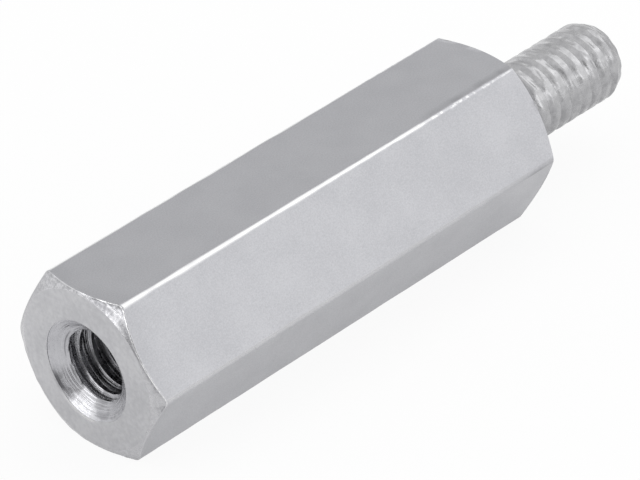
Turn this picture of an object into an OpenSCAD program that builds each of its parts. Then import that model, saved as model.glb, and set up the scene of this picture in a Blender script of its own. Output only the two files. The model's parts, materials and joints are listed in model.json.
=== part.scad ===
// Hexagonal standoff: a bar with a tapped blind hole in one end and a stud on the other.
// It lies on one flat with its axis along X. The origin is on the axis, in the plane of the
// seating shoulder, and the stud points to +X. Millimetres.

/* [Hex bar] */
// Width of the bar across its flats
flats_w = 5; // [4:0.5:8]
// Length of the bar between its two end faces
bar_l = 16; // [13:1:40]
// Radius along the six long edges of the drawn bar
edge_r = 0.2; // [0.05:0.05:0.4]
// How far inside the flats the flat of each end face stops
face_inset = 0.08; // [0.02:0.01:0.3]
// Slope of the turned chamfer round each end face, measured from the face
chamfer_angle = 30; // [15:1:45]

/* [Thread] */
// Nominal diameter of the stud and of the tapped hole
thread_d = 2.5; // [2:0.1:3]
// Pitch of both threads
thread_pitch = 0.45; // [0.35:0.05:0.5]
// How much smaller the stud is over its crests than the nominal diameter
crest_play = 0.02; // [0.02:0.01:0.1]

/* [Stud] */
// Length of the stud beyond the shoulder
stud_l = 4.85; // [3.5:0.05:10]
// Length of the lead-in taper at the tip
tip_l = 0.38; // [0.2:0.02:0.7]
// How much the lead-in taper takes off the radius
tip_drop = 0.18; // [0.1:0.02:0.4]
// Width of the run-out groove beside the shoulder
groove_w = 1.1; // [0.9:0.1:1.8]
// Depth of the run-out groove below the crests
groove_depth = 0.33; // [0.2:0.01:0.4]
// Slope of the groove's outer flank, measured from the axis
groove_flank_angle = 45; // [35:1:60]
// How far outside the crests the flat of the shoulder starts
seat_play = 0.03; // [0.02:0.01:0.15]

/* [Tapped hole] */
// Depth of the tapped wall, counted from the end face
tapped_l = 8; // [4:0.5:10]
// How far the drilled hole runs past the tapped wall
drill_extra = 1.5; // [0.5:0.5:2]
// Included angle of the drill's point
drill_point_angle = 118; // [90:1:140]
// How much wider the countersink's mouth is than the thread
mouth_extra = 0.55; // [0.2:0.05:0.9]
// Included angle of the countersink
countersink_angle = 120; // [60:5:140]

/* [Hidden] */
$fn = 96;
// Number of flats round the bar
flat_count = 6;
// How far a cut runs past the face that it starts from, and the stud into the bar
overlap = 0.3;
// How far the edge rounds would stand outside the flats, so that the flats cut them off cleanly
edge_bite = 0.0005;
plated_steel = [0.76, 0.76, 0.78];

// Rounded hexagon
half_flat_angle = 180 / flat_count;
sharp_corner_r = flats_w / 2 / cos(half_flat_angle);
edge_center_r = (flats_w / 2 - edge_r + edge_bite) / cos(half_flat_angle);
corner_r = edge_center_r + edge_r;
// Where a line across the corner, through the feet of the round on its two flats, lies
edge_foot_r = edge_center_r + (edge_r - edge_bite) * cos(half_flat_angle);

// Cones that turn the corners off both ends
face_r = flats_w / 2 - face_inset;
envelope_r = corner_r + overlap;
chamfer_l = (envelope_r - face_r) * tan(chamfer_angle);

// Stud
crest_r = (thread_d - crest_play) / 2;
groove_r = crest_r - groove_depth;
groove_fillet = groove_depth + seat_play;
groove_foot_r = groove_r + groove_fillet;
groove_flank_l = groove_depth / tan(groove_flank_angle);
tip_r = crest_r - tip_drop;

// Tapped hole, as the tapping drill leaves it
drill_r = (thread_d - thread_pitch) / 2;
mouth_r = (thread_d + mouth_extra) / 2;
countersink_slope = tan(countersink_angle / 2);
countersink_l = (mouth_r - drill_r) / countersink_slope;
drill_l = tapped_l + drill_extra;
drill_point_l = drill_r / tan(drill_point_angle / 2);

// Section of the drawn bar: a hexagon with every corner trimmed to a round
module bar_section() {
    difference() {
        rotate(half_flat_angle)
            circle(r = sharp_corner_r, $fn = flat_count);
        for (i = [0 : flat_count - 1])
            rotate(half_flat_angle * (2 * i + 1))
                corner_trim();
    }
}

// What is taken off one corner of the hexagon, on the x axis: all that lies beyond its round
module corner_trim() {
    difference() {
        translate([edge_foot_r, -edge_r])
            square([sharp_corner_r - edge_foot_r + overlap, 2 * edge_r]);
        translate([edge_center_r, 0])
            circle(r = edge_r);
    }
}

// Turned outline that both ends of the bar share: a flat face and a cone that cuts the corners
module end_envelope() {
    rotate_extrude()
        polygon([
            [0, 0],
            [face_r, 0],
            [envelope_r, chamfer_l],
            [envelope_r, bar_l - chamfer_l],
            [face_r, bar_l],
            [0, bar_l]
        ]);
}

// Hexagonal bar, from its drilled face at z = 0 to its shoulder at z = bar_l
module bar() {
    intersection() {
        linear_extrude(height = bar_l)
            bar_section();
        end_envelope();
    }
}

// Stud over its crests, from inside the bar to its tip, with z = 0 in the shoulder's plane
module stud() {
    rotate_extrude()
        polygon([
            [0, -overlap],
            [groove_r, -overlap],
            [groove_r, groove_w - groove_flank_l],
            [crest_r, groove_w],
            [crest_r, stud_l - tip_l],
            [tip_r, stud_l],
            [0, stud_l]
        ]);
    stud_fillet();
}

// Round that carries the groove's floor out to the shoulder
module stud_fillet() {
    rotate_extrude()
        difference() {
            translate([groove_r - groove_fillet, -overlap])
                square([2 * groove_fillet, overlap + groove_fillet]);
            translate([groove_foot_r, groove_fillet])
                circle(r = groove_fillet);
        }
}

// Blind hole, countersunk at its mouth at z = 0 and ending in the drill's point
module tapped_hole() {
    rotate_extrude()
        polygon([
            [0, -overlap],
            [mouth_r + overlap * countersink_slope, -overlap],
            [drill_r, countersink_l],
            [drill_r, drill_l],
            [0, drill_l + drill_point_l]
        ]);
}

module hex_standoff() {
    color(plated_steel)
        rotate([0, 90, 0]) {
            translate([0, 0, -bar_l])
                difference() {
                    bar();
                    tapped_hole();
                }
            stud();
        }
}

hex_standoff();
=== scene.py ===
"""Looks of a hex standoff: one drawn, turned, tapped and zinc-plated piece lying on a white floor.

Lengths are millimetres in the frame of the CAD part: the axis is X, the stud points to +X and the
seating shoulder is the plane x = 0. Seen from the drilled end, left is +Y. A turn is an angle about
the axis, from +Y towards +Z. Meshes, lights and the camera are scaled to metres when they are made.
"""

import json
import math

import bpy
import numpy as np
from mathutils import Matrix, Vector


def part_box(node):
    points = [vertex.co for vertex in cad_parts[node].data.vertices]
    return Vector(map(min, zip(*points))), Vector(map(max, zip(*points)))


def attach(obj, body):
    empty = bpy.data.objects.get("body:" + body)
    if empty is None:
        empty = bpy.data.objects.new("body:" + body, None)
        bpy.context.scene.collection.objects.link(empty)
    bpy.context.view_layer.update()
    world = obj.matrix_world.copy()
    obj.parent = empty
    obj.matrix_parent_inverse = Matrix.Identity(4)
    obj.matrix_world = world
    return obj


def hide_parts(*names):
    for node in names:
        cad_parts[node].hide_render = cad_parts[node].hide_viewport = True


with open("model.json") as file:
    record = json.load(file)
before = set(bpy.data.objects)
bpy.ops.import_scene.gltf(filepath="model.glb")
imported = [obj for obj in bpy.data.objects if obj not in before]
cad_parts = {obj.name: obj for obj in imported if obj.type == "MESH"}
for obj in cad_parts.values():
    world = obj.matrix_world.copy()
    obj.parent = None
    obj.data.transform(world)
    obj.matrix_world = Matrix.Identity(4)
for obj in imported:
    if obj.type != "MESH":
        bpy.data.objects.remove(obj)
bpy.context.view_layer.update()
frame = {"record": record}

MM = 0.001
NODE = "hex_standoff"

# Sizes read from the frame
node_low, node_high = (np.array(corner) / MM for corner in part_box(NODE))
mounts = {mount["name"]: mount for mount in frame["record"]["mounts"]}


def mount_span(name):
    """Both ends of a round mount on the X axis, from its middle and its length."""
    middle = mounts[name]["pos_m"][0] / MM
    half = mounts[name]["dims"]["length_mm"] / 2
    return middle - half, middle + half


FRONT_X = node_low[0]
TIP_X = node_high[0]
FLAT_R = node_high[2]
CORNER_R = node_high[1]
CREST_R = mounts["stud"]["dims"]["r_mm"]
DRILL_R = mounts["tapped_hole"]["dims"]["r_mm"]
GROOVE_END_X, TAPER_X = mount_span("stud")
DRILL_X = mount_span("tapped_hole")[1]

# Rounded hexagon
FLAT_COUNT = 6
CORNER_STEP = 2 * math.pi / FLAT_COUNT
HALF_STEP = CORNER_STEP / 2
SHARP_CORNER_R = FLAT_R / math.cos(HALF_STEP)
EDGE_R = (SHARP_CORNER_R - CORNER_R) / (SHARP_CORNER_R / FLAT_R - 1)

# Turned ends
FACE_INSET = 0.08
FACE_R = FLAT_R - FACE_INSET
CHAMFER_ANGLE = 30
CHAMFER_SLOPE = math.tan(math.radians(CHAMFER_ANGLE))

# Threads; a shift moves one along the axis
PITCH = 0.45
THREAD_R = 1.25
STUD_THREAD_DEPTH = 0.105
STUD_THREAD_SHIFT = 0.272
HOLE_THREAD_DEPTH = 0.245
HOLE_THREAD_SHIFT = -0.15

# Tapped hole
TAPPED_L = 8
TAPPED_END_X = FRONT_X + TAPPED_L
TAP_RUNOUT = 2 * PITCH
DRILL_POINT_ANGLE = 118
DRILL_POINT_L = DRILL_R / math.tan(math.radians(DRILL_POINT_ANGLE / 2))
MOUTH_EXTRA = 0.275
MOUTH_R = THREAD_R + MOUTH_EXTRA
COUNTERSINK_ANGLE = 120
COUNTERSINK_SLOPE = math.tan(math.radians(COUNTERSINK_ANGLE / 2))
COUNTERSINK_L = (MOUTH_R - DRILL_R) / COUNTERSINK_SLOPE
THREAD_START_SHARE = 0.4
THREAD_START_X = FRONT_X + THREAD_START_SHARE * COUNTERSINK_L

# Stud
GROOVE_DEPTH = 0.33
GROOVE_R = CREST_R - GROOVE_DEPTH
SEAT_PLAY = 0.03
GROOVE_FILLET = GROOVE_DEPTH + SEAT_PLAY
GROOVE_FOOT_R = GROOVE_R + GROOVE_FILLET
GROOVE_FLOOR_END_X = GROOVE_END_X - GROOVE_DEPTH
TIP_DROP = 0.18
TIP_R = CREST_R - TIP_DROP

# Small faults of making
MOUTH_STEP = 0.03
MOUTH_STEP_TURN = math.radians(50)
MOUTH_OFF = 0.05
MOUTH_OFF_TURN = math.radians(-75)
MOUTH_SCRAPE = 0.06
BURR = 0.03
BACK_BURR = 0.008
EDGE_THINNING = 0.38
EDGE_WAVER = 0.07
EDGES_APART = 7.0
STUD_LUMP = 0.014

# Width of the round on the edge of a cone, for each flat
EDGE_STRIPS = np.array([0.03, 0.05, 0.06, 0.04, 0.03, 0.05])

# Wear is rubbed bright above 0 and carried towards bare steel below 0, which is thinner plating in some
# places and painted shade in others. The two corners that give the bar its width are the box corners;
# the other four edges are free
BOX_CORNERS = (0, 3)
CROWN_SKEW = 1.3
BOX_EDGE_WEAR = 0.36
BOX_EDGE_NICK = 0.6
NICK_SHARE = 0.955
NICK_SPAN = 0.03
FLAT_START_THIN = 0.1
# Painted shade: a dark line on each flat beside its next corner near the shoulder, most on the top flat
FLAT_END_SHADE = np.array([0.1, 0.42, 0.0, 0.0, 0.3, 0.1])
# Painted shade: the groove at the shoulder, its fillet and the start of the thread are darkened towards
# bare steel, fading out past the groove's end; the thread's roots are darkened a little
GROOVE_SHADE = 0.5
GROOVE_FADE = 0.15
GROOVE_FADE_PAST = 0.1
ROOT_SHADE = 0.08

# Fades along the bar: shares of the way from the drilled end to the shoulder, then values
FREE_FADE = [0.0, 0.72, 0.80, 0.88, 1.0], [1.0, 0.95, 0.95, 0.7, 0.3]
BOX_FADE = [0.0, 0.60, 0.88, 1.0], [1.0, 0.9, 0.6, 0.3]
FLAT_START_FADE = [0.0, 0.003, 0.012, 0.04], [0.0, 1.0, 0.8, 0.0]
FLAT_END_FADE = [0.74, 0.82, 1.0], [0.0, 0.8, 1.0]

# Fade across a flat: shares of the way from one corner to the next, then values
FLAT_SIDE_FADE = [0.9, 0.97], [0.0, 1.0]

# Stretches round the axis: turns in degrees, then values
SCRAPE = [-106, -88, -62, -46], [0.0, 1.0, 1.0, 0.0]
RIM_WEAR = (
    [0, 60, 104, 114, 179, 184, 240, 300, 330, 360],
    [0.2, 0.06, 0.1, 1.0, 1.0, 0.1, 0.1, 0.2, 0.3, 0.2],
)
# Painted shadow of the front burr: a dark line beside the front cone's edge, from about turn 120 to 188
RIM_SHADOW = (
    [120, 123, 130, 136, 150, 172, 178, 181.5, 183, 186, 188],
    [0.0, 0.4, 0.4, 0.1, 0.65, 0.65, 0.1, 0.0, 0.9, 0.9, 0.0],
)
# Painted shade: the front cone's upper slope darkened, most near turn 106
CONE_SHADE = (
    [40, 62, 84, 106, 117, 122, 130, 136, 142, 150],
    [0.2, 0.42, 0.55, 0.7, 0.45, 0.15, 0.0, 0.05, 0.15, 0.0],
)
# Countersink: painted shade low on its right, and rubbed bright low down
SINK_WEAR_AND_SHADE = [-170, -130, -104, -90, -62, -46], [0.0, -0.3, -0.25, 0.12, 0.12, 0.0]
# Painted dark reflection low on the left of the countersink, near its lip
SINK_DARK_REFLECTION = [-47, -43, -30, -20], [0.0, 1.0, 0.8, 0.0]
# Face by the mouth: rubbed bright low down, and a painted dark reflection low on the left
LIP_WEAR_AND_DARK_REFLECTION = [-98, -90, -55, -48, -43, -30, -20], [0.0, 0.6, 0.6, 0.0, -0.35, -0.3, 0.0]
# Painted shade: the stud darker on its lower right side
STUD_LOW_SIDE_SHADE = [155, 175, 200, 235, 255], [0.0, 0.1, 0.12, 0.18, 0.0]

# Fineness of the mesh
EDGE_COLUMNS = 9
FLAT_SPOTS = np.r_[0.01, 0.04, np.linspace(0.10, 0.90, 11), 0.96, 0.99]
BAR_SHARES = np.r_[0.0, 0.003, 0.007, np.linspace(1 / 80, 1, 80)]
FACE_SHARES = np.r_[0.0, 0.04, 0.08, 0.13, np.linspace(0.2, 1, 6)]
CONE_SHARES = [0.0, 0.06, 0.3, 0.65]
LEAST_CONE = 0.2
CONE_ROUND_ROWS = 7
DRILL_POINT_ROWS = 7
DRILL_WALL_ROWS = 5
LIP_ROWS = 3
SHOULDER_ROWS = 5
FILLET_ROWS = 9
GROOVE_ROWS = 4
TIP_ROWS = 6
STUD_ROWS_PER_PITCH = 18
HOLE_ROWS_PER_PITCH = 12
WELD = 1e-5


# Columns round the bar
def column_plan():
    """Corner number, bend within the corner's round and share of the way over the flat, per column."""
    round_bends = np.linspace(-HALF_STEP, HALF_STEP, EDGE_COLUMNS)
    bends = np.r_[round_bends, np.full(len(FLAT_SPOTS), HALF_STEP)]
    shares = np.r_[np.zeros(EDGE_COLUMNS), FLAT_SPOTS]
    corners = np.repeat(np.arange(FLAT_COUNT), len(bends))
    return corners, np.tile(bends, FLAT_COUNT), np.tile(shares, FLAT_COUNT)


COLUMN_CORNER, COLUMN_BEND, COLUMN_SHARE = column_plan()
ROUND_SHARE = 0.5 + COLUMN_BEND / (2 * HALF_STEP)


def bar_section(edge_r):
    """Section of the drawn bar, from the radius of each of its six edges (rows x 6).

    A corner's point is its round's centre, at (flat - r) / cos(30), plus r along the bend. A flat's
    point is a share of the way from the end of one round to the start of the next.
    """
    this_r = edge_r[:, COLUMN_CORNER]
    next_r = edge_r[:, (COLUMN_CORNER + 1) % FLAT_COUNT]
    corner = COLUMN_CORNER * CORNER_STEP
    following = corner + CORNER_STEP

    def on_round(radius, at, bend):
        centre = (FLAT_R - radius) / math.cos(HALF_STEP)
        y = centre * np.cos(at) + radius * np.cos(at + bend)
        z = centre * np.sin(at) + radius * np.sin(at + bend)
        return np.stack([y, z], axis=-1)

    here = on_round(this_r, corner, COLUMN_BEND)
    there = on_round(next_r, following, -HALF_STEP)
    share = COLUMN_SHARE[None, :, None]
    return here * (1 - share) + there * share


NOMINAL_SECTION = bar_section(np.full((1, FLAT_COUNT), EDGE_R))[0]
TURN = np.unwrap(np.arctan2(NOMINAL_SECTION[:, 1], NOMINAL_SECTION[:, 0]))
COLUMNS = len(TURN)


# Grids of points: rows along the profile, columns round the axis
def round_points(x, r, turn):
    """Points at x on the axis and r from it, at a turn."""
    return np.stack(np.broadcast_arrays(x, r * np.cos(turn), r * np.sin(turn)), axis=-1)


def revolved(profile):
    """A profile of (x, r) points carried round the axis."""
    x, r = np.array(profile).T
    return round_points(x[:, None], r[:, None], TURN[None, :])


def between(start, end, shares):
    """Rows of points at shares of the way from one ring to another."""
    share = np.asarray(shares)[:, None, None]
    return start[None] * (1 - share) + end[None] * share


def by_row(*values):
    """A value for each row of a grid."""
    return np.array(values)[:, None]


def by_turn(stretch, turn=TURN):
    """A stretch's values carried round in straight steps; its turns are -180 to 180 or 0 to 360."""
    turns, values = stretch
    start = min(0, turns[0])
    return np.interp((np.degrees(turn) - start) % 360 + start, turns, values)


def by_flat(values):
    """A value per flat, carried round the bar and blended over the corners."""
    passed = np.where(COLUMN_SHARE > 0, 1, ROUND_SHARE)
    return values[COLUMN_CORNER - 1] * (1 - passed) + values[COLUMN_CORNER] * passed


def waves(along, turn, seed, count, longest, shortest, most_turns):
    """Smooth lumps of about unit height: the sum of cosines with seeded lengths, turns and phases."""
    draw = np.random.default_rng(seed)
    rate = 2 * np.pi / draw.uniform(shortest, longest, count) * draw.choice([-1, 1], count)
    turns = draw.integers(0, most_turns + 1, count)
    phase = draw.uniform(0, 2 * np.pi, count)
    along, turn = np.broadcast_arrays(along, turn)
    angle = along[..., None] * rate + turn[..., None] * turns + phase
    return np.cos(angle).sum(-1) * math.sqrt(2 / count)


def thread_form(x, turn, crest_share, root_share, ease, lean=0.5):
    """0 on a thread's crest and 1 in its root, at x and a turn of a right-hand helix.

    The phase x / pitch - turn / 360 runs from one crest to the next. A flank between the crest's
    flat and the root's flat is straight, less a sine that eases both corners. The lean is the share
    of both flanks that the one facing +X takes.
    """
    phase = x / PITCH - turn / (2 * np.pi)
    past_crest = phase - np.floor(phase)
    flanks = 1 - crest_share - root_share
    down = (past_crest - crest_share / 2) / (flanks * lean)
    up = (1 - crest_share / 2 - past_crest) / (flanks * (1 - lean))
    flank = np.clip(np.minimum(down, up), 0, 1)
    return flank - ease * np.sin(2 * np.pi * flank) / (2 * np.pi)


def helical_rows(x_start, x_end, rows_per_pitch):
    """x of rows that climb one pitch in a turn, cut off at both ends of a thread."""
    length = x_end - x_start
    count = rows_per_pitch * (math.ceil(length / PITCH) + 2) + 1
    climb = np.arange(count)[:, None] / rows_per_pitch - 1
    return np.clip(x_start + PITCH * (climb + (TURN - TURN[0]) / (2 * np.pi)), x_start, x_end)


# Shape of the hole
def mouth_step(turn):
    """Depth of the step at the countersink's lip: deepest towards one turn, nothing opposite."""
    return MOUTH_STEP * (0.5 + 0.5 * np.cos(turn - MOUTH_STEP_TURN)) ** 2


def mouth_radius(turn):
    """Countersink's mouth: a hair off the hole's axis, and scraped wider over a stretch of turns."""
    off_axis = MOUTH_OFF * np.cos(turn - MOUTH_OFF_TURN)
    return MOUTH_R + off_axis + MOUTH_SCRAPE * by_turn(SCRAPE, turn)


def countersink_radius(x, turn):
    """Countersink below its lip: a cone of 120 degrees."""
    return mouth_radius(turn) - (x - FRONT_X - mouth_step(turn)) * COUNTERSINK_SLOPE


def hole_radius(x, turn):
    """Wall of the tapped hole: the wider of the countersink and the thread, which fades at its end."""
    fade = np.clip((TAPPED_END_X - x) / TAP_RUNOUT, 0, 1)
    form = thread_form(x - HOLE_THREAD_SHIFT, turn, crest_share=0.125, root_share=0.25, ease=0.35)
    thread = DRILL_R + HOLE_THREAD_DEPTH * fade * (1 - form)
    return np.maximum(countersink_radius(x, turn), thread)


def hole_sections():
    """The hole's grids, from the drill's point out to the countersink's lip."""
    share = np.linspace(0, 1, DRILL_POINT_ROWS)
    drill_point = np.column_stack([DRILL_X + DRILL_POINT_L * (1 - share), DRILL_R * share])
    drill_wall = [(x, DRILL_R) for x in np.linspace(DRILL_X, TAPPED_END_X, DRILL_WALL_ROWS)]

    tapped_x = helical_rows(THREAD_START_X, TAPPED_END_X, HOLE_ROWS_PER_PITCH)
    tapped_r = hole_radius(tapped_x, TURN)
    tapped_wall = round_points(tapped_x, tapped_r, TURN)
    on_cone = tapped_r <= countersink_radius(tapped_x, TURN)
    # On the countersink, painted shade low on the right
    tapped_wear_and_shade = on_cone * by_turn(SINK_WEAR_AND_SHADE)

    lip_x = FRONT_X + mouth_step(TURN)
    # Near the lip, a painted dark reflection low on the left
    reflection_rows = by_row(0.0, 0.0, 0.1, 0.4, 0.8, 1.0, 1.0, 1.0)
    sunk_x = THREAD_START_X + (lip_x - THREAD_START_X) * np.linspace(0, 1, len(reflection_rows))[:, None]
    countersink = round_points(sunk_x, countersink_radius(sunk_x, TURN), TURN)
    sink_wear_and_shade = by_turn(SINK_WEAR_AND_SHADE) - reflection_rows * by_turn(SINK_DARK_REFLECTION)
    step_x = lip_x + (FRONT_X - lip_x) * np.linspace(0, 1, LIP_ROWS)[:, None]
    lip = round_points(step_x, mouth_radius(TURN), TURN)

    return [
        (revolved(drill_point), "bored", 0, 0.0),
        (revolved(drill_wall), "bored", 0, 0.0),
        (tapped_wall[::-1], "bored", -HOLE_ROWS_PER_PITCH, tapped_wear_and_shade[::-1]),
        (countersink, "bored", 0, sink_wear_and_shade),
        (lip, "bored", 0, 0.0),
    ]


# Shape of the bar
def edge_radii(shares):
    """Radius of the six drawn edges at shares of the way along the bar (rows x 6).

    It shrinks towards the shoulder and wavers, except at the box corners, where it only grows. Each
    edge has its own stretch of one long line of waves.
    """
    corner = np.arange(FLAT_COUNT)
    along = shares[:, None] * -FRONT_X + EDGES_APART * corner
    waver = EDGE_WAVER * waves(along, 0.0, seed=5, count=14, longest=5.0, shortest=0.5, most_turns=0)
    free = 1 + waver - EDGE_THINNING * shares[:, None]
    held = 1 + np.abs(waver)
    return EDGE_R * np.where(np.isin(corner, BOX_CORNERS), held, free)


def cone_ring(x_face, inward, share):
    """Ring where an end's cone leaves the bar, at a share of the way along the bar.

    Towards the bar's middle, x is that of the face plus (r - face radius) tan(30).
    """
    section = bar_section(edge_radii(np.array([share])))[0]
    r = np.hypot(section[:, 0], section[:, 1])
    x = x_face + inward * (r - FACE_R) * CHAMFER_SLOPE
    return np.column_stack([x, section])


def burred(ring, outward, burr, seed):
    """A cone's edge as the tool leaves it, with a burr of wavering height along the axis.

    Waves from -2 to 2 give from none of the burr to all of it.
    """
    height = waves(0.0, TURN, seed=seed, count=24, longest=1.0, shortest=0.5, most_turns=60)
    edge = ring.copy()
    edge[:, 0] += outward * burr * (0.5 + 0.25 * np.clip(height, -2, 2))
    return edge


def end_cone(face_ring, ring, edge):
    """Rows of an end's cone from its face to the bar's flats: the cone, then a round over its edge.

    The round is a quadratic curve from a strip's width short of the edge, on the cone, to the ring
    where the flats start, with the burred edge as its middle control point.
    """
    strip = by_flat(EDGE_STRIPS)[:, None]
    reach = np.linalg.norm(ring - face_ring, axis=1)[:, None]
    stop = np.clip(1 - strip / reach, LEAST_CONE, 1)
    foot = face_ring * (1 - stop) + ring * stop
    u = np.linspace(0, 1, CONE_ROUND_ROWS)[:, None, None]
    curve = (1 - u) ** 2 * foot + 2 * u * (1 - u) * edge + u ** 2 * ring
    return np.concatenate([between(face_ring, foot, CONE_SHARES), curve])


def cone_wear_and_shade(slope_shade, rim_shadow):
    """Wear and painted shade over the rows of an end's cone: its edge rubbed bright, and darkened.

    It is darkened towards bare steel by one share on the slope as painted shade, and by another in a
    line beside the edge as the burr's painted shadow. The rows are those of the cone and then those of
    the round.
    """
    edge = by_row(0.0, 0.0, 0.0, 0.0, 0.0, 0.4, 0.8, 1.0, 0.8, 0.4, 0.0)
    slope = by_row(0.0, 1.0, 1.0, 1.0, 1.0, 0.6, 0.2, 0.0, 0.0, 0.0, 0.0)
    line = by_row(0.0, 0.0, 0.0, 0.3, 1.0, 0.8, 0.3, 0.0, 0.0, 0.0, 0.0)
    return edge * by_turn(RIM_WEAR) - slope * slope_shade - line * rim_shadow


def bar_rows(front_ring, back_ring):
    """Drawn flats and edges between the rings where the two end cones leave them."""
    share = BAR_SHARES[:, None]
    x = front_ring[:, 0] * (1 - share) + back_ring[:, 0] * share
    return np.concatenate([x[..., None], bar_section(edge_radii(BAR_SHARES))], axis=-1)


def patchy(patches, level, swing):
    """A share about a level, which swings with the patches."""
    return np.clip(level + swing * patches, 0, 1)


def bar_wear_and_shade():
    """How far the plating is rubbed bright on the bar's edges, less so near the shoulder.

    A free edge's wear is a half sine of a power of the share u round it. Over a box corner it is
    27/4 u (1 - u)^2, most a third of the way round. The plating is thinner on the flats beside the
    drilled end and in a nick in the box corners. Near the shoulder, a dark line of painted shade runs
    at the side of each flat.
    """
    shares = BAR_SHARES[:, None]
    along = shares * -FRONT_X
    corner = COLUMN_CORNER * 1.0
    patches = waves(along, corner, seed=3, count=30, longest=2.5, shortest=0.25, most_turns=9)

    box_corner = np.isin(COLUMN_CORNER, BOX_CORNERS)
    crown = np.sin(math.pi * ROUND_SHARE ** CROWN_SKEW) * np.interp(shares, *FREE_FADE)
    skewed = BOX_EDGE_WEAR * 27 / 4 * ROUND_SHARE * (1 - ROUND_SHARE) ** 2
    rubbed = np.where(box_corner, skewed * np.interp(shares, *BOX_FADE), crown)
    nick = np.exp(-((shares - NICK_SHARE) / NICK_SPAN) ** 2) * box_corner * ROUND_SHARE ** 2
    on_edge = rubbed * patchy(patches, level=0.95, swing=0.12) - BOX_EDGE_NICK * nick

    thin_start = FLAT_START_THIN * np.interp(shares, *FLAT_START_FADE)
    # Painted shade beside a corner of each flat near the shoulder
    end_shade = FLAT_END_SHADE[COLUMN_CORNER] * patchy(patches, level=0.7, swing=0.3)
    end_shade = end_shade * np.interp(COLUMN_SHARE, *FLAT_SIDE_FADE) * np.interp(shares, *FLAT_END_FADE)
    return np.where(COLUMN_SHARE == 0, on_edge, -thin_start - end_shade)


def bar_sections():
    """The bar's grids, from the face round the hole, over the flats, to the shoulder."""
    mouth_r = mouth_radius(TURN)
    face_r = mouth_r + (FACE_R - mouth_r) * FACE_SHARES[:, None]
    board_face = round_points(np.array(FRONT_X), face_r, TURN)
    # Rows by the mouth, rubbed bright low down and with a painted dark reflection low on the left
    mouth_rows = by_row(0.6, 1.0, 0.8, 0.2, 0.0, 0.0, 0.0, 0.0, 0.0, 0.0)
    shoulder = revolved([(0.0, r) for r in np.linspace(FACE_R, GROOVE_FOOT_R, SHOULDER_ROWS)])

    front_ring = cone_ring(FRONT_X, 1, 0.0)
    back_ring = cone_ring(0.0, -1, 1.0)
    front_edge = burred(front_ring, -1, BURR, seed=7)
    back_edge = burred(back_ring, 1, BACK_BURR, seed=8)
    front_cone = end_cone(board_face[-1], front_ring, front_edge)
    back_cone = end_cone(shoulder[0], back_ring, back_edge)

    return [
        (board_face, "turned", 0, mouth_rows * by_turn(LIP_WEAR_AND_DARK_REFLECTION)),
        # The front cone's slope and the line beside its edge carry painted shade
        (front_cone, "chamfered", 0, cone_wear_and_shade(by_turn(CONE_SHADE), by_turn(RIM_SHADOW))),
        (bar_rows(front_cone[-1], back_cone[-1]), "drawn", 0, bar_wear_and_shade()),
        (back_cone[::-1], "chamfered", 0, cone_wear_and_shade(0.0, 0.0)[::-1]),
        (shoulder, "turned", 0, 0.0),
    ]


# Shape of the stud
def stud_radius(x, turn):
    """Stud: the smaller of its thread and its turned outline, less the lumps of its plating.

    The outline runs over the groove's floor, its flank, the crests and the lead-in taper.
    """
    outline_x = [GROOVE_FLOOR_END_X, GROOVE_END_X, TAPER_X, TIP_X]
    outline = np.interp(x, outline_x, [GROOVE_R, CREST_R, CREST_R, TIP_R])
    from_crest = x - STUD_THREAD_SHIFT
    form = thread_form(from_crest, turn, crest_share=0.51, root_share=0.03, ease=0.2, lean=0.23)
    lumps = waves(x, turn, seed=11, count=40, longest=0.9, shortest=0.25, most_turns=14)
    lumps = np.clip(lumps, -2, 0) * np.clip((x - GROOVE_FLOOR_END_X) / GROOVE_DEPTH, 0, 1)
    return np.minimum(outline, CREST_R - STUD_THREAD_DEPTH * form) + STUD_LUMP * lumps


def stud_sections():
    """The stud's grids, from the fillet at the shoulder, over the thread, to the face of its tip."""
    bends = np.linspace(0, math.pi / 2, FILLET_ROWS)
    fillet_x = GROOVE_FILLET * (1 - np.cos(bends))
    fillet = np.column_stack([fillet_x, GROOVE_FOOT_R - GROOVE_FILLET * np.sin(bends)])
    groove = [(x, GROOVE_R) for x in np.linspace(GROOVE_FILLET, GROOVE_FLOOR_END_X, GROOVE_ROWS)]

    stud_x = helical_rows(GROOVE_FLOOR_END_X, TIP_X, STUD_ROWS_PER_PITCH)
    stud_r = stud_radius(stud_x, TURN)
    stud = round_points(stud_x, stud_r, TURN)
    # Painted shade: darker by the groove, on the stud's lower side and in the thread's roots
    by_groove = np.clip((GROOVE_END_X + GROOVE_FADE_PAST - stud_x) / GROOVE_FADE, 0, 1)
    in_root = np.clip((CREST_R - stud_r) / STUD_THREAD_DEPTH, 0, 1)
    stud_shade = GROOVE_SHADE * by_groove + by_turn(STUD_LOW_SIDE_SHADE) + ROOT_SHADE * in_root

    tip_ring = round_points(np.array(TIP_X), stud_radius(TIP_X, TURN), TURN)
    tip_centre = round_points(np.array(TIP_X), np.zeros(COLUMNS), TURN)
    tip_face = between(tip_ring, tip_centre, np.linspace(0, 1, TIP_ROWS))

    return [
        # The fillet and the groove are darkened as painted shade
        (revolved(fillet), "turned", 0, -GROOVE_SHADE),
        (revolved(groove), "turned", 0, -GROOVE_SHADE),
        (stud, "threaded", STUD_ROWS_PER_PITCH, -stud_shade),
        (tip_face, "turned", 0, 0.0),
    ]


# The standoff's mesh
SHARP_ANGLE = math.radians(28)
# Name of the mesh attribute that holds wear and, below 0, painted shade
WEAR_AND_SHADE = "wear"


def standoff_sections():
    """The standoff's grids from the drill's point, out over the bar, to the tip of the stud.

    Each is (points, finish, seam rows, wear and painted shade). At the seam a helical grid's last
    column meets its first one that many rows further along.
    """
    return hole_sections() + bar_sections() + stud_sections()


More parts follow.
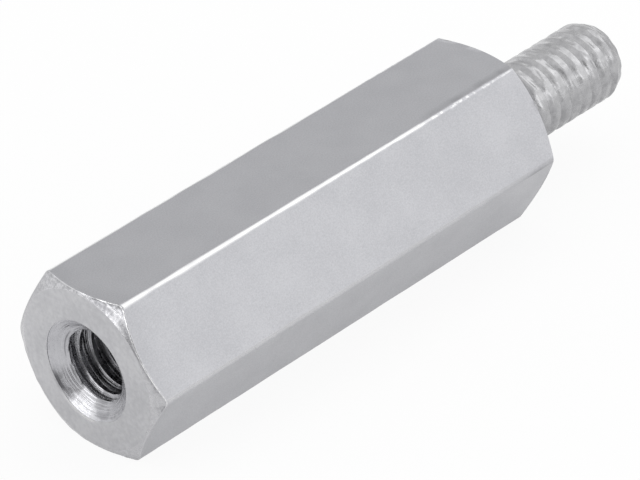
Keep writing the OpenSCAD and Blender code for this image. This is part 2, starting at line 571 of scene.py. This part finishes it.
def grid_triangles(rows, seam_rows):
    """Two triangles per cell of a grid; the last column meets the first one seam_rows further along."""
    row, column = np.meshgrid(np.arange(rows - 1), np.arange(COLUMNS), indexing="ij")
    ahead = np.where(column == COLUMNS - 1, seam_rows, 0)
    inside = (row + ahead >= 0) & (row + ahead + 1 < rows)
    row, column, ahead = row[inside], column[inside], ahead[inside]
    across = (column + 1) % COLUMNS
    near, far = row * COLUMNS + column, (row + 1) * COLUMNS + column
    near_next, far_next = (row + ahead) * COLUMNS + across, (row + ahead + 1) * COLUMNS + across
    upper = np.column_stack([near, far, far_next])
    lower = np.column_stack([near, far_next, near_next])
    return np.concatenate([upper, lower])


def welded(points, triangles):
    """Merges points that coincide; says which points stay and which triangles are left whole."""
    key = np.round(points / WELD).astype(np.int64)
    _, first, place = np.unique(key, axis=0, return_index=True, return_inverse=True)
    triangles = place.reshape(-1)[triangles]
    a, b, c = triangles.T
    whole = (a != b) & (b != c) & (c != a)
    return points[first], first, triangles[whole], whole


def add_object(name, data):
    """Puts a new object into the scene."""
    thing = bpy.data.objects.new(name, data)
    bpy.context.scene.collection.objects.link(thing)
    return thing


def standoff(finishes):
    """The standoff as one closed mesh, with a material per finish and its wear and painted shade as an
    attribute.
    """
    points, triangles, slots, wear = [], [], [], []
    names = list(finishes)
    offset = 0
    for grid, finish, seam_rows, rubbed in standoff_sections():
        cells = grid_triangles(len(grid), seam_rows)
        points.append(grid.reshape(-1, 3))
        triangles.append(cells + offset)
        slots.append(np.full(len(cells), names.index(finish)))
        wear.append(np.broadcast_to(rubbed, grid.shape[:2]).reshape(-1))
        offset += grid.shape[0] * COLUMNS
    points, first, triangles, whole = welded(np.concatenate(points), np.concatenate(triangles))
    mesh = bpy.data.meshes.new("standoff")
    mesh.from_pydata(points * MM, [], triangles)
    for material in finishes.values():
        mesh.materials.append(material)
    mesh.polygons.foreach_set("material_index", np.concatenate(slots)[whole].astype(np.int32))
    layer = mesh.attributes.new(WEAR_AND_SHADE, "FLOAT", "POINT")
    layer.data.foreach_set("value", np.concatenate(wear)[first].astype(np.float32))
    mesh.shade_smooth()
    mesh.set_sharp_from_angle(angle=SHARP_ANGLE)
    mesh.update()
    return add_object("standoff", mesh)


# Shader nodes
def add_node(tree, kind, inputs, **settings):
    """Adds a node, with each input either linked to a socket or set to a value."""
    node = tree.nodes.new(kind)
    for name, value in settings.items():
        setattr(node, name, value)
    for name, value in inputs.items():
        if isinstance(value, bpy.types.NodeSocket):
            tree.links.new(value, node.inputs[name])
        else:
            node.inputs[name].default_value = value
    return node


def maths(tree, operation, first, second):
    """Result of an operation on two values."""
    return add_node(tree, "ShaderNodeMath", {0: first, 1: second}, operation=operation).outputs["Value"]


def product(tree, first, *others):
    """Values multiplied together."""
    for value in others:
        first = maths(tree, "MULTIPLY", first, value)
    return first


def spread(tree, value, low, high, to_low=0.0, to_high=1.0):
    """A value carried smoothly from one span to another."""
    inputs = {"Value": value, "From Min": low, "From Max": high, "To Min": to_low, "To Max": to_high}
    node = add_node(tree, "ShaderNodeMapRange", inputs, interpolation_type="SMOOTHSTEP")
    return node.outputs["Result"]


def mixed(tree, share, first, second):
    """A colour between two, by a share."""
    node = add_node(tree, "ShaderNodeMix", {0: share, 6: first, 7: second}, data_type="RGBA")
    return node.outputs[2]


def blended(tree, share, first, second):
    """A value between two, by a share."""
    node = add_node(tree, "ShaderNodeMix", {0: share, 2: first, 3: second}, data_type="FLOAT")
    return node.outputs[0]


def noise(tree, vector, scale, detail):
    """Noise on a position in millimetres, with so many grains in a millimetre."""
    inputs = {"Vector": vector, "Scale": scale, "Detail": detail, "Roughness": 0.6}
    return add_node(tree, "ShaderNodeTexNoise", inputs).outputs["Fac"]


def split(tree, vector):
    """The X, Y and Z of a vector."""
    return add_node(tree, "ShaderNodeSeparateXYZ", {"Vector": vector}).outputs


def shader_group(name, inputs, outputs):
    """Empty node group with named sockets; returns its tree, its inputs and its output node."""
    tree = bpy.data.node_groups.new(name, "ShaderNodeTree")
    for socket, (kind, value) in inputs.items():
        made = tree.interface.new_socket(socket, in_out="INPUT", socket_type=kind)
        made.default_value = value
    for socket, kind in outputs.items():
        tree.interface.new_socket(socket, in_out="OUTPUT", socket_type=kind)
    return tree, tree.nodes.new("NodeGroupInput").outputs, tree.nodes.new("NodeGroupOutput")


# Effects that the finishes share, on positions in millimetres; spans are levels of noise
FLOAT, COLOR, VECTOR = "NodeSocketFloat", "NodeSocketColor", "NodeSocketVector"
# Bare steel; also the dark colour that painted shade is carried towards
BARE_STEEL_AND_SHADE = (0.15, 0.15, 0.16, 1)
BURNISHED = (0.80, 0.80, 0.80, 1)
BURNISHED_RIM = (0.95, 0.95, 0.95, 1)
GRAIN_SPAN = (0.3, 0.7)
CLOUDS_PER_MM = 0.8
PATCHES_PER_MM = 1.6
PATCH_SPAN = (0.4, 0.6)
RING_WAVER = 0.12


def zinc_plating():
    """Plating: a fine grain with broad clouds; gives its colour, its dullness and its height."""
    tree, given, out = shader_group(
        "zinc plating",
        {
            "Position": (VECTOR, (0, 0, 0)),
            "Grains per mm": (FLOAT, 20.0),
            "Cloud share": (FLOAT, 0.4),
            "Dull": (COLOR, (0.44, 0.44, 0.45, 1)),
            "Bright": (COLOR, (0.52, 0.52, 0.53, 1)),
        },
        {"Color": COLOR, "Dullness": FLOAT, "Height": FLOAT},
    )
    grain = noise(tree, given["Position"], given["Grains per mm"], 4)
    cloud = noise(tree, given["Position"], CLOUDS_PER_MM, 2)
    level = spread(tree, blended(tree, given["Cloud share"], grain, cloud), *GRAIN_SPAN)
    tree.links.new(mixed(tree, level, given["Dull"], given["Bright"]), out.inputs["Color"])
    tree.links.new(maths(tree, "SUBTRACT", 1.0, level), out.inputs["Dullness"])
    tree.links.new(grain, out.inputs["Height"])
    return tree


def tool_marks():
    """Rings that a tool leaves on a turned face, a cone or a bore, broken up in patches.

    They are noise on the radius less the place along the axis; the radius is given too.
    """
    tree, given, out = shader_group(
        "tool marks",
        {
            "Position": (VECTOR, (0, 0, 0)),
            "Marks per mm": (FLOAT, 12.0),
            "Broken": (FLOAT, 0.5),
            "Shift": (FLOAT, 0.0),
        },
        {"Height": FLOAT, "Radius": FLOAT},
    )
    parts = split(tree, given["Position"])
    across = add_node(tree, "ShaderNodeCombineXYZ", {"Y": parts["Y"], "Z": parts["Z"]})
    inputs = {0: across.outputs["Vector"]}
    radius = add_node(tree, "ShaderNodeVectorMath", inputs, operation="LENGTH").outputs["Value"]
    patches = noise(tree, given["Position"], PATCHES_PER_MM, 2)
    along = maths(tree, "SUBTRACT", radius, parts["X"])
    along = maths(tree, "ADD", along, maths(tree, "MULTIPLY", patches, RING_WAVER))
    along = maths(tree, "ADD", along, given["Shift"])
    inputs = {"W": along, "Scale": given["Marks per mm"], "Detail": 3.0, "Roughness": 0.65}
    rings = add_node(tree, "ShaderNodeTexNoise", inputs, noise_dimensions="1D").outputs["Fac"]
    broken = maths(tree, "MULTIPLY", given["Broken"], spread(tree, patches, *PATCH_SPAN))
    kept = maths(tree, "SUBTRACT", 1.0, broken)
    tree.links.new(maths(tree, "MULTIPLY", rings, kept), out.inputs["Height"])
    tree.links.new(radius, out.inputs["Radius"])
    return tree


def worn_and_shaded_plating():
    """Plating carried towards burnished zinc by wear above 0, and towards bare steel below 0, which is
    thinner plating in some places and painted shade in others.
    """
    tree, given, out = shader_group(
        "worn plating",
        {
            "Color": (COLOR, (0.48, 0.48, 0.49, 1)),
            "Roughness": (FLOAT, 0.35),
            "Wear": (FLOAT, 0.0),
            "Burnished": (COLOR, BURNISHED),
            "Burnished roughness": (FLOAT, 0.22),
            "Bare": (COLOR, BARE_STEEL_AND_SHADE),
        },
        {"Color": COLOR, "Roughness": FLOAT},
    )
    bare_share = maths(tree, "MULTIPLY", given["Wear"], -1.0)
    color = mixed(tree, bare_share, given["Color"], given["Bare"])
    color = mixed(tree, given["Wear"], color, given["Burnished"])
    roughness = blended(tree, given["Wear"], given["Roughness"], given["Burnished roughness"])
    tree.links.new(color, out.inputs["Color"])
    tree.links.new(roughness, out.inputs["Roughness"])
    return tree


PLATING = zinc_plating()
TOOL_MARKS = tool_marks()
WORN_AND_SHADED_PLATING = worn_and_shaded_plating()


# Finishes
def metal(name):
    """Material with a metal shader; returns it with its tree, shader and position in millimetres."""
    material = bpy.data.materials.new(name)
    material.use_nodes = True
    tree = material.node_tree
    shader = tree.nodes["Principled BSDF"]
    shader.inputs["Metallic"].default_value = 1.0
    in_metres = tree.nodes.new("ShaderNodeTexCoord").outputs["Object"]
    inputs = {0: in_metres, "Scale": 1 / MM}
    place = add_node(tree, "ShaderNodeVectorMath", inputs, operation="SCALE").outputs["Vector"]
    return material, tree, shader, place


def grouped(tree, group, **inputs):
    """Places a node group; an input's name has _ for a space."""
    named = {name.replace("_", " "): value for name, value in inputs.items()}
    return add_node(tree, "ShaderNodeGroup", named, node_tree=group).outputs


def dulled(tree, plating, bright, dull):
    """Roughness between that of a plating's bright grains and that of its dull ones."""
    return spread(tree, plating["Dullness"], 0.0, 1.0, bright, dull)


def bumped(tree, height, depth, normal=None):
    """Normal bent by a height, whose full span is a depth in millimetres."""
    inputs = {"Height": height, "Strength": 1.0, "Distance": depth * MM}
    if normal is not None:
        inputs["Normal"] = normal
    return add_node(tree, "ShaderNodeBump", inputs).outputs["Normal"]


def mesh_wear_and_shade(tree):
    """The mesh's own wear, which holds painted shade below 0."""
    return add_node(tree, "ShaderNodeAttribute", {}, attribute_name=WEAR_AND_SHADE).outputs["Fac"]


def worn_and_shaded(tree, shader, color, roughness, wear, burnished=BURNISHED):
    """Gives a shader its plating's colour and roughness after wear and painted shade."""
    edge = grouped(tree, WORN_AND_SHADED_PLATING, Color=color, Roughness=roughness, Wear=wear, Burnished=burnished)
    tree.links.new(edge["Color"], shader.inputs["Base Color"])
    tree.links.new(edge["Roughness"], shader.inputs["Roughness"])


DRAWN_LINES_PER_MM = (0.3, 26.0, 26.0)
EDGE_SPOTS_PER_MM = 7.0
EDGE_SPOTS_SPAN = (0.46, 0.58)
EDGE_SPOTS_X = (-5.0, -2.5)
EDGE_SPOTS_Z = (0.5, 1.5)
LEAST_EDGE_WEAR = 0.05


def drawn_flats():
    """Drawn hexagon under satin zinc: faint lines along the bar, and edges rubbed bright.

    Near the shoulder the upper edges are rubbed in spots only.
    """
    material, tree, shader, place = metal("drawn flats")
    plating = grouped(tree, PLATING, Position=place, Grains_per_mm=24.0, Cloud_share=0.25,
                      Dull=(0.426, 0.428, 0.450, 1), Bright=(0.521, 0.523, 0.545, 1))
    parts = split(tree, place)
    far = spread(tree, parts["X"], *EDGE_SPOTS_X, 1.0, LEAST_EDGE_WEAR)
    low = spread(tree, parts["Z"], *EDGE_SPOTS_Z, 1.0, 0.0)
    least = maths(tree, "MAXIMUM", far, low)
    spots = noise(tree, place, EDGE_SPOTS_PER_MM, 1)
    spots = spread(tree, spots, *EDGE_SPOTS_SPAN, least, 1.0)
    wear = mesh_wear_and_shade(tree)
    wear = maths(tree, "MINIMUM", wear, maths(tree, "MULTIPLY", wear, spots))
    worn_and_shaded(tree, shader, plating["Color"], dulled(tree, plating, bright=0.28, dull=0.32), wear)
    drawn = add_node(tree, "ShaderNodeMapping", {"Vector": place, "Scale": DRAWN_LINES_PER_MM})
    lines = bumped(tree, noise(tree, drawn.outputs["Vector"], 1.0, 3), depth=0.0005)
    normal = bumped(tree, plating["Height"], depth=0.0003, normal=lines)
    tree.links.new(normal, shader.inputs["Normal"])
    return material


def turned_ends():
    """Turned faces under zinc: faint rings and a soft mottle."""
    material, tree, shader, place = metal("turned ends")
    plating = grouped(tree, PLATING, Position=place, Grains_per_mm=7.0, Cloud_share=0.45,
                      Dull=(0.460, 0.460, 0.478, 1), Bright=(0.572, 0.572, 0.588, 1))
    roughness = dulled(tree, plating, bright=0.28, dull=0.38)
    worn_and_shaded(tree, shader, plating["Color"], roughness, mesh_wear_and_shade(tree))
    marks = grouped(tree, TOOL_MARKS, Position=place, Marks_per_mm=11.0, Broken=0.7)
    rings = bumped(tree, marks["Height"], depth=0.005)
    normal = bumped(tree, plating["Height"], depth=0.0005, normal=rings)
    tree.links.new(normal, shader.inputs["Normal"])
    return material


STREAK_DARK = 0.4
STREAK_FAINT = 0.9
STREAK_SPAN = (0.3, 0.5)
STREAK_Z = (0.8, 1.6)
CALM_Y = (-0.6, 0.5)
CALM_MARKS = 0.35
RIM_SPOTS_PER_MM = 13.0
RIM_SPOTS_SPAN = (0.38, 0.62)
LEAST_RIM_WEAR = 0.35


def turned_cones():
    """Cones at both ends: bright streaks between dull ones, and a rim rubbed bright in spots.

    The streaks are dark only high up on the right, and the rings are calmer on the left.
    """
    material, tree, shader, place = metal("turned cones")
    plating = grouped(tree, PLATING, Position=place, Grains_per_mm=12.0, Cloud_share=0.3,
                      Dull=(0.48, 0.48, 0.498, 1), Bright=(0.58, 0.58, 0.596, 1))
    marks = grouped(tree, TOOL_MARKS, Position=place, Marks_per_mm=13.0, Broken=0.3, Shift=3.7)
    parts = split(tree, place)
    to_left = spread(tree, parts["Y"], *CALM_Y)
    darkest = spread(tree, parts["Z"], *STREAK_Z, STREAK_FAINT, STREAK_DARK)
    darkest = maths(tree, "MAXIMUM", darkest, maths(tree, "MULTIPLY", to_left, STREAK_FAINT))
    streak = spread(tree, marks["Height"], *STREAK_SPAN, darkest, 1.0)
    color = mixed(tree, streak, BARE_STEEL_AND_SHADE, plating["Color"])
    spots = noise(tree, place, RIM_SPOTS_PER_MM, 2)
    spots = spread(tree, spots, *RIM_SPOTS_SPAN, LEAST_RIM_WEAR, 1.0)
    wear = maths(tree, "MULTIPLY", mesh_wear_and_shade(tree), spots)
    worn_and_shaded(tree, shader, color, dulled(tree, plating, bright=0.24, dull=0.34), wear, BURNISHED_RIM)
    calm = spread(tree, to_left, 0.0, 1.0, 1.0, CALM_MARKS)
    rings = bumped(tree, maths(tree, "MULTIPLY", marks["Height"], calm), depth=0.014)
    normal = bumped(tree, plating["Height"], depth=0.0006, normal=rings)
    tree.links.new(normal, shader.inputs["Normal"])
    return material


# Painted shade: the hole darker deeper inside
HOLE_SHADE = 0.7
HOLE_SHADE_X = (FRONT_X + 0.3, FRONT_X + 1.6)
CHATTER_SPAN = (0.25, 0.45)
CHATTER_Z = (-1.0, -0.3)
TAP_MARK = 0.75
TAP_MARK_R = 1.10
TAP_MARK_W = (0.0105, 0.035)
TAP_MARK_Y = (0.2, 0.4)
TAP_MARK_LOW_Z = (-0.25, -0.05)
TAP_MARK_HIGH_Z = (0.65, 0.95)
TAP_MARK_END_X = (FRONT_X + COUNTERSINK_L - 0.03, FRONT_X + COUNTERSINK_L)


def tap_mark(tree, radius, parts):
    """Mask of the line that the tap's start left on one side of the countersink."""
    off = maths(tree, "ABSOLUTE", maths(tree, "SUBTRACT", radius, TAP_MARK_R), 0.0)
    return product(
        tree,
        spread(tree, off, *TAP_MARK_W, 1.0, 0.0),
        spread(tree, parts["Z"], *TAP_MARK_LOW_Z),
        spread(tree, parts["Z"], *TAP_MARK_HIGH_Z, 1.0, 0.0),
        spread(tree, parts["Y"], *TAP_MARK_Y),
        spread(tree, parts["X"], *TAP_MARK_END_X, 1.0, 0.0),
    )


def bored_hole():
    """Countersink, tapped wall and drilled bottom: streaked on its lower side, and darker deeper inside
    as painted shade.
    """
    material, tree, shader, place = metal("bored hole")
    plating = grouped(tree, PLATING, Position=place, Grains_per_mm=10.0, Cloud_share=0.5,
                      Dull=(0.46, 0.46, 0.485, 1), Bright=(0.55, 0.55, 0.575, 1))
    marks = grouped(tree, TOOL_MARKS, Position=place, Marks_per_mm=9.0, Broken=0.4)
    parts = split(tree, place)
    darkest = spread(tree, parts["Z"], *CHATTER_Z, STREAK_DARK, STREAK_FAINT)
    chatter = spread(tree, marks["Height"], *CHATTER_SPAN, darkest, 1.0)
    # Painted shade, darker deeper in the hole
    plated = spread(tree, parts["X"], *HOLE_SHADE_X, 1.0, HOLE_SHADE)
    marked = maths(tree, "MULTIPLY", tap_mark(tree, marks["Radius"], parts), TAP_MARK)
    unmarked = maths(tree, "SUBTRACT", 1.0, marked)
    color = mixed(tree, product(tree, chatter, plated, unmarked), BARE_STEEL_AND_SHADE, plating["Color"])
    worn_and_shaded(tree, shader, color, dulled(tree, plating, bright=0.22, dull=0.30), mesh_wear_and_shade(tree))
    rings = bumped(tree, marks["Height"], depth=0.02)
    normal = bumped(tree, plating["Height"], depth=0.0003, normal=rings)
    tree.links.new(normal, shader.inputs["Normal"])
    return material


def cut_thread():
    """Stud's thread under lumpy zinc."""
    material, tree, shader, place = metal("cut thread")
    plating = grouped(tree, PLATING, Position=place, Grains_per_mm=4.0, Cloud_share=0.2,
                      Dull=(0.385, 0.385, 0.395, 1), Bright=(0.52, 0.52, 0.53, 1))
    roughness = dulled(tree, plating, bright=0.24, dull=0.34)
    worn_and_shaded(tree, shader, plating["Color"], roughness, mesh_wear_and_shade(tree))
    tree.links.new(bumped(tree, plating["Height"], depth=0.012), shader.inputs["Normal"])
    return material


finishes = {
    "drawn": drawn_flats(),
    "turned": turned_ends(),
    "chamfered": turned_cones(),
    "bored": bored_hole(),
    "threaded": cut_thread(),
}

piece = standoff(finishes)
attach(piece, "root")
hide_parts(NODE)


# Floor
BAR_MIDDLE = Vector((FRONT_X / 2, 0, 0))
FLOOR_HALF = 34
FLOOR_WHITE = (0.9, 0.9, 0.9, 1)
FLOOR_GLOW_SEEN = 0.9
FLOOR_GLOW_MIRRORED = 0.46


def white_floor():
    """White floor under the bar, which glows as a background and still takes the shadow."""
    corners = np.array([(-1, -1), (1, -1), (1, 1), (-1, 1)]) * FLOOR_HALF
    points = np.column_stack([corners + [BAR_MIDDLE.x, 0], np.full(4, -FLAT_R)])
    mesh = bpy.data.meshes.new("floor")
    mesh.from_pydata(points * MM, [], [(0, 1, 2, 3)])
    material = bpy.data.materials.new("white floor")
    material.use_nodes = True
    tree = material.node_tree
    tree.nodes.clear()
    rays = tree.nodes.new("ShaderNodeLightPath").outputs
    seen = maths(tree, "MULTIPLY", rays["Is Camera Ray"], FLOOR_GLOW_SEEN)
    mirrored = maths(tree, "MAXIMUM", rays["Is Glossy Ray"], rays["Is Transmission Ray"])
    mirrored = maths(tree, "MULTIPLY", mirrored, FLOOR_GLOW_MIRRORED)
    share = maths(tree, "MAXIMUM", seen, mirrored)
    paper = add_node(tree, "ShaderNodeBsdfDiffuse", {"Color": FLOOR_WHITE}).outputs["BSDF"]
    glow = add_node(tree, "ShaderNodeEmission", {"Strength": 1.0}).outputs["Emission"]
    surface = add_node(tree, "ShaderNodeMixShader", {0: share, 1: paper, 2: glow}).outputs["Shader"]
    add_node(tree, "ShaderNodeOutputMaterial", {"Surface": surface})
    mesh.materials.append(material)
    return add_object("floor", mesh)


# Light: each panel's name, centre, width, height and glow
POWER_PER_GLOW = 4.0
PANELS = [
    ("overhead panel", (155, -23, 226), 240, 240, 0.48),
    ("right panel", (140, -198, 116), 320, 234, 0.36),
    ("low left panel", (-248, 78, 52), 165, 64, 1.45),
    ("front right strip", (-60, -236, 75), 190, 100, 0.6),
]


def soft_panel(name, centre, width, height, glow):
    """Soft box of a width and height, facing the bar, that shows in the metal at a brightness."""
    light = bpy.data.lights.new(name, "AREA")
    light.shape = "RECTANGLE"
    light.size = width * MM
    light.size_y = height * MM
    light.energy = POWER_PER_GLOW * light.size * light.size_y * glow
    lamp = add_object(name, light)
    back = (Vector(centre) - BAR_MIDDLE).normalized()
    lamp.rotation_euler = back.to_track_quat("Z", "Y").to_euler()
    lamp.location = Vector(centre) * MM
    lamp.visible_camera = False


# Spans of the room are of a direction's X, Y or Z, or of its cosine with the dark side
ROOM_GLOW = 0.79
FRONT_GLOW = 1.0
FRONT_SPAN = (-0.3, 0.3)
HORIZON_GLOW = 0.32
HORIZON_SPAN = (0.2, 0.45)
LEFT_SPAN = (0.0, 0.4)
DARK_SIDE = Vector((-0.88, -0.47, 0.08)).normalized()
DARK_SPAN = (0.78, 0.93)
DARK_SHARE = 0.25


def bright_room():
    """World: a pale room, brighter before the drilled end and low on the left, with a dark low side.

    It is white where the camera sees it.
    """
    world = bpy.data.worlds.new("bright room")
    world.use_nodes = True
    tree = world.node_tree
    towards = tree.nodes.new("ShaderNodeTexCoord").outputs["Generated"]
    parts = split(tree, towards)
    room = spread(tree, parts["X"], *FRONT_SPAN, FRONT_GLOW, ROOM_GLOW)
    low = spread(tree, parts["Z"], *HORIZON_SPAN, HORIZON_GLOW, 0.0)
    low_left = maths(tree, "MULTIPLY", low, spread(tree, parts["Y"], *LEFT_SPAN))
    room = maths(tree, "ADD", room, low_left)
    inputs = {0: towards, 1: DARK_SIDE}
    facing = add_node(tree, "ShaderNodeVectorMath", inputs, operation="DOT_PRODUCT").outputs["Value"]
    glow = maths(tree, "MULTIPLY", room, spread(tree, facing, *DARK_SPAN, 1.0, DARK_SHARE))
    seen = tree.nodes.new("ShaderNodeLightPath").outputs["Is Camera Ray"]
    background = tree.nodes["Background"]
    background.inputs["Color"].default_value = (1, 1, 1, 1)
    tree.links.new(maths(tree, "MAXIMUM", glow, seen), background.inputs["Strength"])
    bpy.context.scene.world = world


# Camera
CAMERA_AT = Vector((-79.188, -74.794, 65.451))
CAMERA_AIM = Vector((-7.454, -0.511, 0.0))
CAMERA_ROLL = math.radians(-4.41)
CAMERA_LENS = 247.07
CAMERA_NEAR = 10
SENSOR_W = 36.0


def photo_camera():
    """Camera at the photograph's place, with its roll about the line of sight."""
    data = bpy.data.cameras.new("camera")
    data.lens = CAMERA_LENS
    data.sensor_width = SENSOR_W
    data.clip_start = CAMERA_NEAR * MM
    camera = add_object("camera", data)
    ahead = (CAMERA_AIM - CAMERA_AT).normalized()
    level = ahead.cross(Vector((0, 0, 1))).normalized()
    right = level * math.cos(CAMERA_ROLL) + level.cross(ahead) * math.sin(CAMERA_ROLL)
    up = right.cross(ahead)
    turn = Matrix((right, up, -ahead)).transposed().to_4x4()
    camera.matrix_world = Matrix.Translation(CAMERA_AT * MM) @ turn
    bpy.context.scene.camera = camera


white_floor()
bright_room()
for panel in PANELS:
    soft_panel(*panel)
photo_camera()
bpy.context.scene.view_settings.view_transform = "Standard"
